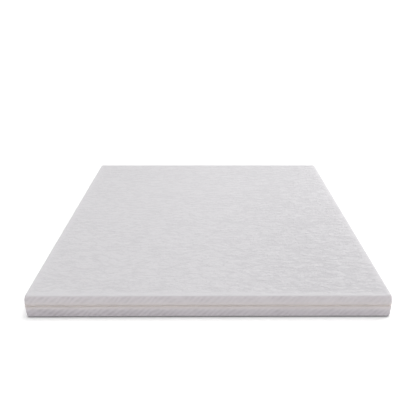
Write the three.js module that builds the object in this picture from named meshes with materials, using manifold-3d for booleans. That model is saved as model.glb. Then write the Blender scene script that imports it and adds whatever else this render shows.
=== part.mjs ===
// A memory foam mattress in a zip-off cover, in millimetres.
//
// X runs across the bed, Y along it with the head end at +Y, and Z up. The origin is the middle
// of the underside, on the surface that the mattress lies on.
//
// The cover is two shells. The lower one is a bottom panel sewn to a low border, and the upper
// one is a top panel sewn to a second border. A zip runs all the way round between the two
// borders, and two slabs of foam, glued to each other, lie inside.

import * as THREE from 'three';
import { mergeVertices } from 'three/addons/utils/BufferGeometryUtils.js';
import Module from 'manifold-3d';

const wasm = await Module();
wasm.setup();

// ---- Driving dimensions ---------------------------------------------------------------------

// The whole mattress: a queen size, four inches thick.
const WIDTH = 1524;
const LENGTH = 2032;
const THICKNESS = 102;
const CORNER_R = 16; // plan radius of the four corners
const EDGE_R = 9; // rounding of the top and bottom edges
const SEAM_ANGLE = 45; // how far round an edge its seam lies, in degrees from the side face

// Fabrics and fillings.
const TOP_PANEL_T = 2.4; // quilt-weight knit
const BOTTOM_PANEL_T = 2.4; // non-slip woven base cloth
const BORDER_T = 2.4; // ribbed knit with its backing
const BARRIER_T = 3; // fire barrier felt under the top panel
const BARRIER_SETBACK = 1; // from the start of the edge rounding
const LINING_T = 1.6; // fire barrier strip behind a border
const LINING_SETBACK = 1; // from the zip tape, and from the edge rounding

// The upper foam slab. The lower one fills the rest of the cover.
const MEMORY_FOAM_T = 38;

// The zip that runs round the mattress.
const ZIP_HEIGHT = 57; // middle of the chain above the underside
const TAPE_T = 0.8;
const TAPE_LAP = 10; // how far a tape runs behind its hem
const TAPE_MIDDLE_GAP = 2.2; // between the two tapes, under the chain
const COIL_T = 1.9;
const COIL_W = 2.1; // one half of the chain
const COIL_BEVEL = 0.5; // along the coil's outer edges
const ZIP_END_GAP = 4; // between the chain's two ends

// The slider and its pull tab.
const SLIDER_L = 11;
const SLIDER_TAPER = 1.2; // on each side, towards the end where the closed chain leaves it
const PLATE_T = 1.1;
const NECK_L = 4;
const NECK_T = 1;
const RAIL_W = 1.2;
const BAIL_T = 1.6;
const BAIL_BAR = 1; // thickness of the bail's arch
const TAB_T = 1;
const TAB_L = 27; // from the hinge to the far end
const TAB_W = 6.6;
const TAB_EYE_R = 1.3; // radius of the eye near the far end
const TAB_EYE_SETBACK = 4.4; // from the far end to the middle of the eye

// The patch that covers the chain's two ends, on the head end near the +X corner.
const PATCH_L = 28;
const PATCH_LAP = 1; // past the edge of each tape
const PATCH_T = 1.2;
const PATCH_CORNER_R = 2.5;
const PATCH_FROM_CORNER = 48; // from the start of the rounded corner to the patch
const PARKING_GAP = 3; // from the patch to the parked slider

// The blank care label, sewn into the bottom seam at the head end.
const LABEL_L = 90;
const LABEL_T = 0.8;
const LABEL_LIFT = 8; // its lower edge above the underside
const LABEL_HEM_GAP = 8; // its upper edge below the lower hem
const LABEL_X = 320;

// Clearances.
const SEWN_GAP = 0.3; // between pieces that are sewn, laid or glued together
const RUN_GAP = 0.3; // round the slider, on each side of what it runs on
const HINGE_GAP = 0.35; // round the bar that the pull tab turns on
const CORE_GAP = 0.6; // from the slider's back plate to the foam
const HEM_CLEARANCE = 0.6; // from the slider to each folded hem

// Smoothness.
const CORNER_FACETS = 8; // in each quarter turn of a corner, in plan
const EDGE_FACETS = 4; // in an edge's rounding, in section
const CURVE_FACETS = 6; // in each curve of the zip's small pieces
const MERGE_TOLERANCE = 1e-4; // vertices nearer than this are one

// ---- Places worked out from them --------------------------------------------------------------

// "Out" is measured from the cover's side face: it is negative inside the mattress.
const tapeOut = -BORDER_T - SEWN_GAP;
const tapeIn = tapeOut - TAPE_T;
const coilIn = tapeOut + SEWN_GAP;
const coilOut = coilIn + COIL_T;
const frontPlateIn = coilOut + RUN_GAP;
const frontPlateOut = frontPlateIn + PLATE_T;
const backPlateOut = tapeIn - RUN_GAP;
const backPlateIn = backPlateOut - PLATE_T;
const liningOut = -BORDER_T - SEWN_GAP;
const liningIn = liningOut - LINING_T;
const coreOut = Math.min(backPlateIn - CORE_GAP, liningIn - SEWN_GAP);

const chainGap = NECK_T + 2 * RUN_GAP;
const chainHalfWidth = chainGap / 2 + COIL_W;
const sliderHalfWidth = chainHalfWidth + RUN_GAP + RAIL_W;
const hemReach = sliderHalfWidth + HEM_CLEARANCE;
const tapeReach = hemReach + TAPE_LAP;
const lowerHem = ZIP_HEIGHT - hemReach;
const upperHem = ZIP_HEIGHT + hemReach;

const barrierTop = THICKNESS - TOP_PANEL_T - SEWN_GAP;
const coreTop = barrierTop - BARRIER_T - SEWN_GAP;
const coreBottom = BOTTOM_PANEL_T + SEWN_GAP;
const layerJoint = coreTop - MEMORY_FOAM_T;
const coreEdgeR = EDGE_R - coreBottom; // clears the inside of the cover's rounded edges

const straightEnd = WIDTH / 2 - CORNER_R;
const patchX = straightEnd - PATCH_FROM_CORNER - PATCH_L / 2;
const patchHeight = 2 * (tapeReach + PATCH_LAP);
const labelHeight = lowerHem - LABEL_HEM_GAP - LABEL_LIFT;
const sliderX = patchX - PATCH_L / 2 - PARKING_GAP - SLIDER_L / 2;

const barHalf = TAB_T / 2; // the pull tab's hinge bar is as thick as the tab
const hingeReach = Math.hypot(barHalf, barHalf) + HINGE_GAP;
const hingeOut = frontPlateOut + hingeReach;

// ---- Shapes -----------------------------------------------------------------------------------

// Points of a round arc in section, from one angle to another in degrees.
function arc(centreOut, centreUp, radius, from, to, steps = EDGE_FACETS) {
  const points = [];
  for (let i = 0; i <= steps; i += 1) {
    const angle = THREE.MathUtils.degToRad(from + ((to - from) * i) / steps);
    points.push([centreOut + radius * Math.cos(angle), centreUp + radius * Math.sin(angle)]);
  }
  return points;
}

// Carries a section round the mattress. The section is turned like a puck of the corners' radius,
// and the puck's four quarters are then pulled apart to the mattress's corners. Half a facet
// lies on each side of each axis, so the pulled facets are the mattress's straight sides.
function aroundMattress(section) {
  const facets = 4 * CORNER_FACETS;
  const halfFacet = Math.PI / facets;
  const profile = section.map(
    ([out, up]) => new THREE.Vector2((CORNER_R + out) / Math.cos(halfFacet), up),
  );
  const geometry = new THREE.LatheGeometry(profile, facets, halfFacet);
  geometry.rotateX(Math.PI / 2);
  const position = geometry.attributes.position;
  for (let i = 0; i < position.count; i += 1) {
    const x = position.getX(i);
    const y = position.getY(i);
    const pull = Math.hypot(x, y) < MERGE_TOLERANCE ? 0 : 1; // the middle of a panel stays
    position.setX(i, x + pull * Math.sign(x) * (WIDTH / 2 - CORNER_R));
    position.setY(i, y + pull * Math.sign(y) * (LENGTH / 2 - CORNER_R));
  }
  return geometry;
}

// A ring's section closes on itself.
function ring(section) {
  return aroundMattress([...section, section[0]]);
}

// A panel's section starts and ends on the mattress's own axis.
function panel(section) {
  const first = section[0];
  const last = section[section.length - 1];
  return aroundMattress([[-CORNER_R, first[1]], ...section, [-CORNER_R, last[1]]]);
}

function box(out0, up0, out1, up1) {
  return [[out0, up0], [out1, up0], [out1, up1], [out0, up1]];
}

// An outline in the plane of the head end's face, from one depth to another.
function plate(outline, fromOut, toOut) {
  const geometry = new THREE.ExtrudeGeometry(outline, {
    depth: toOut - fromOut,
    bevelEnabled: false,
    curveSegments: CURVE_FACETS,
  });
  return geometry.rotateX(Math.PI / 2).translate(0, toOut, 0);
}

function block(length, depth, height) {
  return new THREE.BoxGeometry(length, depth, height);
}

function roundedOutline(length, height, radius) {
  const shape = new THREE.Shape();
  const x = length / 2;
  const y = height / 2;
  shape.moveTo(-x + radius, -y);
  shape.lineTo(x - radius, -y);
  shape.absarc(x - radius, -y + radius, radius, -Math.PI / 2, 0);
  shape.lineTo(x, y - radius);
  shape.absarc(x - radius, y - radius, radius, 0, Math.PI / 2);
  shape.lineTo(-x + radius, y);
  shape.absarc(-x + radius, y - radius, radius, Math.PI / 2, Math.PI);
  shape.lineTo(-x, -y + radius);
  shape.absarc(-x + radius, -y + radius, radius, Math.PI, 1.5 * Math.PI);
  return shape;
}

// ---- Solids that are joined or cut ------------------------------------------------------------

function toSolid(geometry) {
  const bare = geometry.clone();
  bare.deleteAttribute('normal');
  bare.deleteAttribute('uv');
  const merged = mergeVertices(bare, MERGE_TOLERANCE);
  const mesh = new wasm.Mesh({
    numProp: 3,
    vertProperties: new Float32Array(merged.attributes.position.array),
    triVerts: new Uint32Array(merged.index.array),
  });
  return new wasm.Manifold(mesh);
}

function toGeometry(solid) {
  const mesh = solid.getMesh();
  const geometry = new THREE.BufferGeometry();
  geometry.setAttribute('position', new THREE.BufferAttribute(mesh.vertProperties, 3));
  geometry.setIndex(new THREE.BufferAttribute(mesh.triVerts, 1));
  return geometry;
}

function join(...geometries) {
  const solids = geometries.map(toSolid);
  return toGeometry(solids.reduce((whole, next) => whole.add(next)));
}

function cut(geometry, tool) {
  return toGeometry(toSolid(geometry).subtract(toSolid(tool)));
}

// ---- The cover's cloth ------------------------------------------------------------------------

const seamGapAngle = THREE.MathUtils.radToDeg(SEWN_GAP / (EDGE_R - BORDER_T));

function topPanel() {
  const up = THICKNESS - EDGE_R;
  const seam = SEAM_ANGLE + seamGapAngle;
  return panel([
    ...arc(-EDGE_R, up, EDGE_R - TOP_PANEL_T, 90, seam),
    ...arc(-EDGE_R, up, EDGE_R, seam, 90),
  ]);
}

function bottomPanel() {
  const seam = -SEAM_ANGLE - seamGapAngle;
  return panel([
    ...arc(-EDGE_R, EDGE_R, EDGE_R, -90, seam),
    ...arc(-EDGE_R, EDGE_R, EDGE_R - BOTTOM_PANEL_T, seam, -90),
  ]);
}

function upperBorder() {
  const up = THICKNESS - EDGE_R;
  return ring([
    [-BORDER_T, upperHem],
    [0, upperHem],
    ...arc(-EDGE_R, up, EDGE_R, 0, SEAM_ANGLE),
    ...arc(-EDGE_R, up, EDGE_R - BORDER_T, SEAM_ANGLE, 0),
  ]);
}

function lowerBorder() {
  return ring([
    ...arc(-EDGE_R, EDGE_R, EDGE_R, -SEAM_ANGLE, 0),
    [0, lowerHem],
    [-BORDER_T, lowerHem],
    ...arc(-EDGE_R, EDGE_R, EDGE_R - BORDER_T, 0, -SEAM_ANGLE),
  ]);
}

function topBarrier() {
  const edge = -EDGE_R - BARRIER_SETBACK;
  return panel([[edge, barrierTop - BARRIER_T], [edge, barrierTop]]);
}

function upperLining() {
  const bottom = ZIP_HEIGHT + tapeReach + LINING_SETBACK;
  return ring(box(liningIn, bottom, liningOut, THICKNESS - EDGE_R - LINING_SETBACK));
}

function lowerLining() {
  const top = ZIP_HEIGHT - tapeReach - LINING_SETBACK;
  return ring(box(liningIn, EDGE_R + LINING_SETBACK, liningOut, top));
}

function careLabel() {
  return block(LABEL_L, LABEL_T, labelHeight);
}

function zipEndPatch() {
  const outline = roundedOutline(PATCH_L, patchHeight, PATCH_CORNER_R);
  return plate(outline, SEWN_GAP, SEWN_GAP + PATCH_T);
}

// ---- The zip ----------------------------------------------------------------------------------

// The chain goes once round the mattress, and its two ends meet under the patch.
function cutZipEnds(geometry) {
  const slot = block(ZIP_END_GAP, 4 * CORNER_R, 4 * tapeReach);
  slot.translate(patchX, LENGTH / 2, ZIP_HEIGHT);
  return cut(geometry, slot);
}

// side is 1 for the upper half of the zip and -1 for the lower half.
function zipTape(side) {
  const near = ZIP_HEIGHT + (side * TAPE_MIDDLE_GAP) / 2;
  const far = ZIP_HEIGHT + side * tapeReach;
  return cutZipEnds(ring(box(tapeIn, Math.min(near, far), tapeOut, Math.max(near, far))));
}

function zipCoil(side) {
  const middle = ZIP_HEIGHT + side * (chainGap / 2 + COIL_W / 2);
  const half = COIL_W / 2;
  return cutZipEnds(ring([
    [coilIn, middle - half],
    [coilOut - COIL_BEVEL, middle - half],
    [coilOut, middle - half + COIL_BEVEL],
    [coilOut, middle + half - COIL_BEVEL],
    [coilOut - COIL_BEVEL, middle + half],
    [coilIn, middle + half],
  ]));
}

// ---- The slider and its pull tab --------------------------------------------------------------

// Broad at +X, where the two halves of the chain come in, and narrower at -X, where the closed
// chain leaves.
function sliderOutline() {
  const x = SLIDER_L / 2;
  const broad = sliderHalfWidth;
  const narrow = sliderHalfWidth - SLIDER_TAPER;
  const shape = new THREE.Shape();
  shape.moveTo(-x, narrow);
  shape.lineTo(-x, -narrow);
  shape.quadraticCurveTo(-x / 3, -narrow, 0, -broad);
  shape.lineTo(x - PLATE_T, -broad);
  shape.quadraticCurveTo(x, -broad, x, -broad / 2);
  shape.lineTo(x, broad / 2);
  shape.quadraticCurveTo(x, broad, x - PLATE_T, broad);
  shape.lineTo(0, broad);
  shape.quadraticCurveTo(-x / 3, narrow, -x, narrow);
  return shape;
}

// The arch that holds the pull tab, seen along the hinge.
function bailOutline() {
  const inner = hingeReach;
  const outer = inner + BAIL_BAR;
  const foot = frontPlateOut - PLATE_T / 2;
  const shape = new THREE.Shape();
  shape.moveTo(-outer, foot);
  shape.lineTo(outer, foot);
  shape.lineTo(outer, hingeOut);
  shape.absarc(0, hingeOut, outer, 0, Math.PI);
  const opening = new THREE.Path();
  opening.moveTo(-inner, frontPlateOut);
  opening.lineTo(-inner, hingeOut);
  opening.absarc(0, hingeOut, inner, Math.PI, 0, true);
  opening.lineTo(inner, frontPlateOut);
  shape.holes.push(opening);
  return shape;
}

function sliderBody() {
  const neckHeight = frontPlateOut - backPlateIn;
  const neck = block(NECK_L, neckHeight, NECK_T);
  neck.translate(SLIDER_L / 2 - NECK_L / 2 - PLATE_T, backPlateIn + neckHeight / 2, 0);
  const railIn = tapeOut + RUN_GAP;
  const railHeight = frontPlateOut - railIn;
  const railLength = SLIDER_L / 2 - PLATE_T;
  const rail = block(railLength, railHeight, RAIL_W);
  rail.translate(railLength / 2, railIn + railHeight / 2, -sliderHalfWidth + RAIL_W / 2);
  const bail = new THREE.ExtrudeGeometry(bailOutline(), {
    depth: BAIL_T,
    bevelEnabled: false,
    curveSegments: CURVE_FACETS,
  });
  bail.translate(0, 0, -BAIL_T / 2);
  return join(
    plate(sliderOutline(), frontPlateIn, frontPlateOut),
    plate(sliderOutline(), backPlateIn, backPlateOut),
    neck,
    rail,
    bail,
  );
}

// The tab lies along -X from its hinge bar, with a slot that the bail's arch passes through.
function pullTab() {
  const half = TAB_W / 2;
  const slotHalf = BAIL_T / 2 + HINGE_GAP;
  const slotEnd = Math.hypot(hingeReach + BAIL_BAR, hingeReach) + HINGE_GAP;
  const shape = new THREE.Shape();
  shape.moveTo(barHalf, -half);
  shape.lineTo(barHalf, half);
  shape.lineTo(-TAB_L + half, half);
  shape.absarc(-TAB_L + half, 0, half, Math.PI / 2, 1.5 * Math.PI);
  const slot = new THREE.Path();
  slot.moveTo(-barHalf, -slotHalf);
  slot.lineTo(-slotEnd, -slotHalf);
  slot.lineTo(-slotEnd, slotHalf);
  slot.lineTo(-barHalf, slotHalf);
  shape.holes.push(slot);
  const eye = new THREE.Path();
  eye.absarc(-TAB_L + TAB_EYE_SETBACK, 0, TAB_EYE_R, 0, 2 * Math.PI);
  shape.holes.push(eye);
  return plate(shape, -TAB_T / 2, TAB_T / 2);
}

// ---- Foam -------------------------------------------------------------------------------------

function supportFoam() {
  return panel([
    ...arc(coreOut - coreEdgeR, coreBottom + coreEdgeR, coreEdgeR, -90, 0),
    [coreOut, layerJoint - SEWN_GAP],
  ]);
}

function memoryFoam() {
  return panel([
    [coreOut, layerJoint],
    ...arc(coreOut - coreEdgeR, coreTop - coreEdgeR, coreEdgeR, 0, 90),
  ]);
}

// ---- The mattress -----------------------------------------------------------------------------

const whiteKnit = { color: 0xe4e3e6, roughness: 0.9, metalness: 0 };
const ribbedKnit = { color: 0xdbd7d8, roughness: 0.92, metalness: 0 };
const baseCloth = { color: 0xd2d0cf, roughness: 0.95, metalness: 0 };
const barrierFelt = { color: 0xf0eee8, roughness: 1, metalness: 0 };
const zipWhite = { color: 0xcfc8c2, roughness: 0.7, metalness: 0 };
const zipMetal = { color: 0xb9b7b2, roughness: 0.35, metalness: 1 };
const memoryWhite = { color: 0xf1efe6, roughness: 0.95, metalness: 0 };
const supportWhite = { color: 0xdfe3ea, roughness: 0.95, metalness: 0 };
const labelWhite = { color: 0xf4f4f2, roughness: 0.6, metalness: 0 };

function piece(name, geometry, finish) {
  const mesh = new THREE.Mesh(geometry, new THREE.MeshStandardMaterial(finish));
  mesh.name = name;
  return mesh;
}

const lowerCover = new THREE.Group();
lowerCover.add(
  piece('bottom_panel', bottomPanel(), baseCloth),
  piece('lower_border', lowerBorder(), ribbedKnit),
  piece('lower_border_lining', lowerLining(), barrierFelt),
  piece('zip_tape_lower', zipTape(-1), zipWhite),
  piece('zip_coil_lower', zipCoil(-1), zipWhite),
);

const label = piece('care_label', careLabel(), labelWhite);
label.position.set(LABEL_X, LENGTH / 2 + SEWN_GAP + LABEL_T / 2, LABEL_LIFT + labelHeight / 2);
const patch = piece('zip_end_patch', zipEndPatch(), ribbedKnit);
patch.position.set(patchX, LENGTH / 2, ZIP_HEIGHT);
lowerCover.add(label, patch);

const core = new THREE.Group();
core.add(
  piece('support_foam_base', supportFoam(), supportWhite),
  piece('memory_foam_layer', memoryFoam(), memoryWhite),
);

const upperCover = new THREE.Group();
upperCover.add(
  piece('top_panel', topPanel(), whiteKnit),
  piece('top_barrier_felt', topBarrier(), barrierFelt),
  piece('upper_border', upperBorder(), ribbedKnit),
  piece('upper_border_lining', upperLining(), barrierFelt),
  piece('zip_tape_upper', zipTape(1), zipWhite),
  piece('zip_coil_upper', zipCoil(1), zipWhite),
);

const slider = new THREE.Group();
slider.position.set(sliderX, LENGTH / 2, ZIP_HEIGHT);
const tab = piece('zip_pull_tab', pullTab(), zipMetal);
tab.position.y = hingeOut;
slider.add(piece('zip_slider_body', sliderBody(), zipMetal), tab);

const mattress = new THREE.Group();
mattress.add(lowerCover, core, upperCover, slider);

export default mattress;
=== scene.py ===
# %% [markdown]
# # A memory foam mattress in a zip-off cover
#
# The mattress is a pair of foam slabs inside a knitted cover. The cover is two shells, an upper
# and a lower one, that a zip joins all the way round the sides.
# The sizes come from a frame that holds the plain solids of every piece. This lesson gives each
# solid its cloth, thread, foam or metal, in metres, and changes none of the frame's sizes.
# Each step says what a piece is on the real mattress, how it could be made, and why this way.

# %% Load the frame
import math

import bmesh
import bpy
import numpy as np
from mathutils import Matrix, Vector, noise


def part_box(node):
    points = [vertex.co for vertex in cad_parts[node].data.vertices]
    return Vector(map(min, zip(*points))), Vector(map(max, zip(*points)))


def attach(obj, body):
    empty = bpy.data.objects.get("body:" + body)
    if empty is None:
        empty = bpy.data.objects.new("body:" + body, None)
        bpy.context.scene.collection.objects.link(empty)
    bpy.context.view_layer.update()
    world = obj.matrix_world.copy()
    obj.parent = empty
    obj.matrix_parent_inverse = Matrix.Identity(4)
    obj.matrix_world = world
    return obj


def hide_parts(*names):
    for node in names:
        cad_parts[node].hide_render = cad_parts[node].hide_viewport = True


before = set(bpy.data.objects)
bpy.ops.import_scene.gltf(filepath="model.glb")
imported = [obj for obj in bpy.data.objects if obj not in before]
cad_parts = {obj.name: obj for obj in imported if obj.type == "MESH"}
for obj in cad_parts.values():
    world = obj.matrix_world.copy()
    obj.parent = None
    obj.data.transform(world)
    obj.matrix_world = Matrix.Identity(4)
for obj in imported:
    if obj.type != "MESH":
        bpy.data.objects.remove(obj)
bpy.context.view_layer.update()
MM = 0.001

# %% [markdown]
# ## The camera
#
# The viewer stands at the foot of the bed, a little over a metre above it, and looks down along
# it. A fairly long lens keeps the sides from spreading too fast. The camera comes first, because
# everything after it is seen through it.

# %% Place the camera
CAMERA_PLACE = (-0.0017, -3.353, 1.3038)
CAMERA_PITCH = 19.47  # degrees below the horizon
CAMERA_YAW = -0.204  # degrees to the left
CAMERA_LENS = 54.15  # millimetres, on a sensor 36 millimetres wide

camera_data = bpy.data.cameras.new("camera")
camera_data.lens = CAMERA_LENS
camera_data.sensor_width = 36
camera = bpy.data.objects.new("camera", camera_data)
camera.location = CAMERA_PLACE
camera.rotation_euler = (math.radians(90 - CAMERA_PITCH), 0, math.radians(CAMERA_YAW))
bpy.context.collection.objects.link(camera)
bpy.context.scene.camera = camera
print("camera at", CAMERA_PLACE)

# %% [markdown]
# ## Sizes read from the frame
#
# A cover is sewn to the size of the foam that it holds, so the heights and offsets here are read
# from the frame's solids. A box can't tell a corner's radius or a cloth's thickness, so those two
# are written down. "Out" is measured from the cover's side face, so it is negative inside.

# %% Read the sizes
border_low, border_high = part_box("upper_border")
HALF_WIDTH = border_high.x
HALF_LENGTH = border_high.y
CORNER_R = 16 * MM
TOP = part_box("top_panel")[1].z
UPPER_HEM = border_low.z
LOWER_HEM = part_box("lower_border")[1].z
ZIP_MIDDLE = (UPPER_HEM + LOWER_HEM) / 2
CLOTH = 2.2 * MM  # thickness of the panels and borders
TAPE_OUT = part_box("zip_tape_upper")[1].x - HALF_WIDTH
patch_low, patch_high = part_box("zip_end_patch")
ZIP_END_X = (patch_low.x + patch_high.x) / 2
print(f"mattress {2 * HALF_WIDTH:.3f} x {2 * HALF_LENGTH:.3f} x {TOP:.3f} m")
print(f"zip at {ZIP_MIDDLE:.4f} m, its ends at x = {ZIP_END_X:.3f} m")

# %% [markdown]
# ## Shader maths as Python
#
# Finishes are written as expressions. A `Value` wraps one socket, and Python's operators add the
# Math nodes, so `1 - mask * 0.3` reads as it would on paper. A `Finish` is one material: it adds
# any other node from its type, its settings and its sockets' values.

# %% Wrap a socket
class Value:
    """A number that varies over the surface."""

    def __init__(self, finish, socket):
        self.finish = finish
        self.socket = socket

    def math(self, operation, *values):
        inputs = dict(enumerate(values))
        return self.finish.node("ShaderNodeMath", {"operation": operation}, inputs)

    def __add__(self, other):
        return self.math("ADD", self, other)

    def __sub__(self, other):
        return self.math("SUBTRACT", self, other)

    def __rsub__(self, other):
        return self.math("SUBTRACT", other, self)

    def __mul__(self, other):
        return self.math("MULTIPLY", self, other)

    __radd__ = __add__
    __rmul__ = __mul__

    def sine(self):
        return self.math("SINE", self)

    def size(self):
        return self.math("ABSOLUTE", self)

    def above(self, low, high):
        """0 below low, 1 above high, and smooth between them."""
        inputs = {"Value": self, "From Min": low, "From Max": high}
        settings = {"interpolation_type": "SMOOTHSTEP", "clamp": True}
        return self.finish.node("ShaderNodeMapRange", settings, inputs)


# %% Build a finish
class Finish:
    """One material, with a Principled shader that set() feeds."""

    def __init__(self, name):
        self.material = bpy.data.materials.new(name)
        self.material.use_nodes = True
        self.tree = self.material.node_tree
        self.shader = self.tree.nodes["Principled BSDF"]
        made.append(name)

    def node(self, kind, settings=None, inputs=None, output=0):
        node = self.tree.nodes.new(kind)
        for key, setting in (settings or {}).items():
            setattr(node, key, setting)
        for key, value in (inputs or {}).items():
            self.feed(node.inputs[key], value)
        return Value(self, node.outputs[output])

    def feed(self, socket, value):
        if isinstance(value, Value):
            self.tree.links.new(value.socket, socket)
        else:
            socket.default_value = value

    def set(self, **values):
        for key, value in values.items():
            self.feed(self.shader.inputs[key.replace("_", " ")], value)

    def place(self, stretch=(1, 1, 1)):
        """The surface's own place in metres, stretched along each axis."""
        place = self.node("ShaderNodeTexCoord", output="Object")
        return self.node("ShaderNodeVectorMath", {"operation": "MULTIPLY"}, {0: place, 1: stretch})

    def cloth_place(self):
        """What the mesh says of its cloth: on a strip, the metres along it and across it."""
        return self.node("ShaderNodeAttribute", {"attribute_name": "cloth"}, output="Vector")

    def part(self, vector, axis):
        return self.node("ShaderNodeSeparateXYZ", None, {0: vector}, output=axis)

    def noise(self, vector, scale, detail=2.0, roughness=0.5):
        inputs = {"Vector": vector, "Scale": scale, "Detail": detail, "Roughness": roughness}
        return self.node("ShaderNodeTexNoise", None, inputs)

    def cells(self, vector, scale):
        return self.node("ShaderNodeTexVoronoi", None, {"Vector": vector, "Scale": scale})

    def mix(self, amount, first, second):
        """From one colour to another, each either three numbers or a value."""
        first, second = (c if isinstance(c, Value) else (*c, 1) for c in (first, second))
        inputs = {"Factor": amount, 6: first, 7: second}
        return self.node("ShaderNodeMix", {"data_type": "RGBA"}, inputs, output=2)

    def bump(self, height, depth, normal=None):
        """Raises the surface by height, from 0 to 1, times depth in metres."""
        inputs = {"Height": height, "Distance": depth, "Strength": 1.0}
        if normal:
            inputs["Normal"] = normal
        return self.node("ShaderNodeBump", None, inputs)


made = []
print("finishes are ready to build")

# %% [markdown]
# ## The top knit
#
# The sleeping surface is a white stretch knit. Its two yarns shrink by different amounts after
# knitting, which leaves a wavy crinkle that runs mostly across the bed. The larger creases are
# modelled further down, and the mesh carries how slack the knit is at each point, and how deep
# the point lies in a crease. The finer creases are made here from noise: folding a soft noise
# about its middle value leaves wandering lines, and stretching it lays them across the bed. A
# picture of a fabric would blur and repeat.
# Under the crinkle lie the knit's own loops, in rows a millimetre and a half apart.

# %% Make the top knit
KNIT_PITCH = 1.5 * MM
LOOP_RELIEF = 0.12 * MM
FINE_CREASES = 84  # to the metre
FINE_RELIEF = 0.8 * MM
KNIT_LIGHT = (0.650, 0.637, 0.656)
KNIT_SHADE = (0.568, 0.555, 0.576)


def creases(finish, vector, scale, detail):
    """Thin wandering lines: 1 on a line, 0 away from it."""
    fold = (finish.noise(vector, scale, detail) - 0.5).size()
    return 1 - fold.above(0.0, 0.14)


def knit_loops(finish, place):
    """Rows of knitted loops, from 0 between them to 1 on their crowns."""
    turn = 2 * math.pi / KNIT_PITCH
    rows = (finish.part(place, "Y") * turn).sine()
    columns = (finish.part(place, "X") * turn).sine()
    return rows * 0.25 + columns * 0.25 + 0.5


def make_top_knit():
    finish = Finish("top_knit")
    slack = finish.part(finish.cloth_place(), "Y")
    depth = finish.part(finish.cloth_place(), "Z")
    fine = creases(finish, finish.place((0.6, 1.0, 1.0)), FINE_CREASES, 1.5) * slack
    cloud = finish.noise(finish.place(), 9, 4)
    # painted shade: the colour darkens with the depth in a crease and on the fine creases, and the
    # cloud adds the knit's random tone. The creases fade at the rim, where the knit is pulled smooth,
    # so the rim is painted lighter.
    shade = depth * 0.36 + fine * 0.3 + cloud * 0.3
    finish.set(Base_Color=finish.mix(shade.above(0.05, 0.8), KNIT_LIGHT, KNIT_SHADE))
    relief = finish.bump(1 - fine, FINE_RELIEF)
    loops = knit_loops(finish, finish.place())
    finish.set(Normal=finish.bump(loops, LOOP_RELIEF, relief))
    finish.set(Roughness=0.88, Sheen_Weight=0.6, Sheen_Roughness=0.45)
    return finish.material


TOP_KNIT = make_top_knit()
print("made", made[-1])

# %% [markdown]
# ## The border knit
#
# The sides are a heavier knit with diagonal ribs. The ribs themselves are modelled further down,
# so this finish has only the knit's loops, faint painted shade in the hollows between the ribs, a
# warmer tone towards the zip, where the hems' backing shows through, and painted shade near the
# floor, where less light reaches the border. Each strip of cloth carries its own coordinates,
# along and across, in an attribute named cloth. The third of them is the height of the rib at
# that point.

# %% Make the border knit
RIB_PITCH = 28 * MM  # along the border
RIB_SLOPE = math.radians(40)
BORDER_LIGHT = (0.647, 0.612, 0.632)
BORDER_SHADE = (0.541, 0.508, 0.529)
FOOT_LIGHT = (0.549, 0.517, 0.546)  # painted shade: the border's colours near the floor, darkened where less light reaches it
FOOT_SHADE = (0.400, 0.372, 0.402)
HEM_TONE = (0.650, 0.590, 0.572)
HEM_TONE_REACH = (4 * MM, 22 * MM)  # from the zip, where the hems' tone starts to fade and ends
FLOOR_SHADE_REACH = (24 * MM, 58 * MM)  # the same for the painted shade, from the floor


def make_border_knit():
    finish = Finish("border_knit")
    place = finish.cloth_place()
    rib = finish.part(place, "Z")
    cloud = finish.noise(finish.place(), 20, 3)
    height = finish.part(finish.place(), "Z")
    # painted shade: the border darkens towards the floor, where less light reaches it
    floor_shade = (1 - height.above(*FLOOR_SHADE_REACH)) * 0.9
    light = finish.mix(floor_shade, BORDER_LIGHT, FOOT_LIGHT)
    shade = finish.mix(floor_shade, BORDER_SHADE, FOOT_SHADE)
    # painted shade in the hollows between the ribs, mixed with the knit's random tone
    tone = finish.mix(rib * 0.7 + cloud.above(0.3, 0.7) * 0.3, shade, light)
    near_zip = 1 - (height - ZIP_MIDDLE).size().above(*HEM_TONE_REACH)
    finish.set(Base_Color=finish.mix(near_zip * 0.6, tone, HEM_TONE))
    loops = knit_loops(finish, place)
    fuzz = finish.noise(finish.place(), 900, 2)
    finish.set(Normal=finish.bump(loops * 0.7 + fuzz * 0.3, 0.16 * MM))
    finish.set(Roughness=0.9, Sheen_Weight=0.2, Sheen_Roughness=0.5)
    return finish.material


BORDER_KNIT = make_border_knit()
print("made", made[-1])

# %% [markdown]
# ## Base cloth, felt and label
#
# The underside is a plain grey woven cloth. Its dark grey is partly the cloth's own colour and
# partly painted shade: its rim stands in for the dark contact shadow where the mattress meets the
# floor. The fire barrier is needled felt, and the care label is satin. A weave is two sets of
# threads that take turns on top, so it is the product of two sines. Felt is matted fibre, so it is
# noise stretched two ways. Satin shows only the threads that float over the others.

# %% Make the plain fabrics
THREAD_PITCH = 1.2 * MM
FLOAT_PITCH = 0.5 * MM  # between the satin's floating threads


def make_base_cloth():
    finish = Finish("base_cloth")
    place = finish.place()
    over, under = ((finish.part(place, axis) * (math.pi / THREAD_PITCH)).sine() for axis in "XY")
    threads = over * under * 0.5 + 0.5
    cloud = finish.noise(finish.place(), 7, 3)
    tone = threads * 0.5 + cloud * 0.5
    # painted shade: the cloth is dark grey partly so that its rim at the floor stands in for the
    # contact shadow
    finish.set(Base_Color=finish.mix(tone, (0.115, 0.115, 0.119), (0.19, 0.19, 0.197)))
    finish.set(Normal=finish.bump(threads, 0.2 * MM), Roughness=0.93)
    return finish.material


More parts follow.
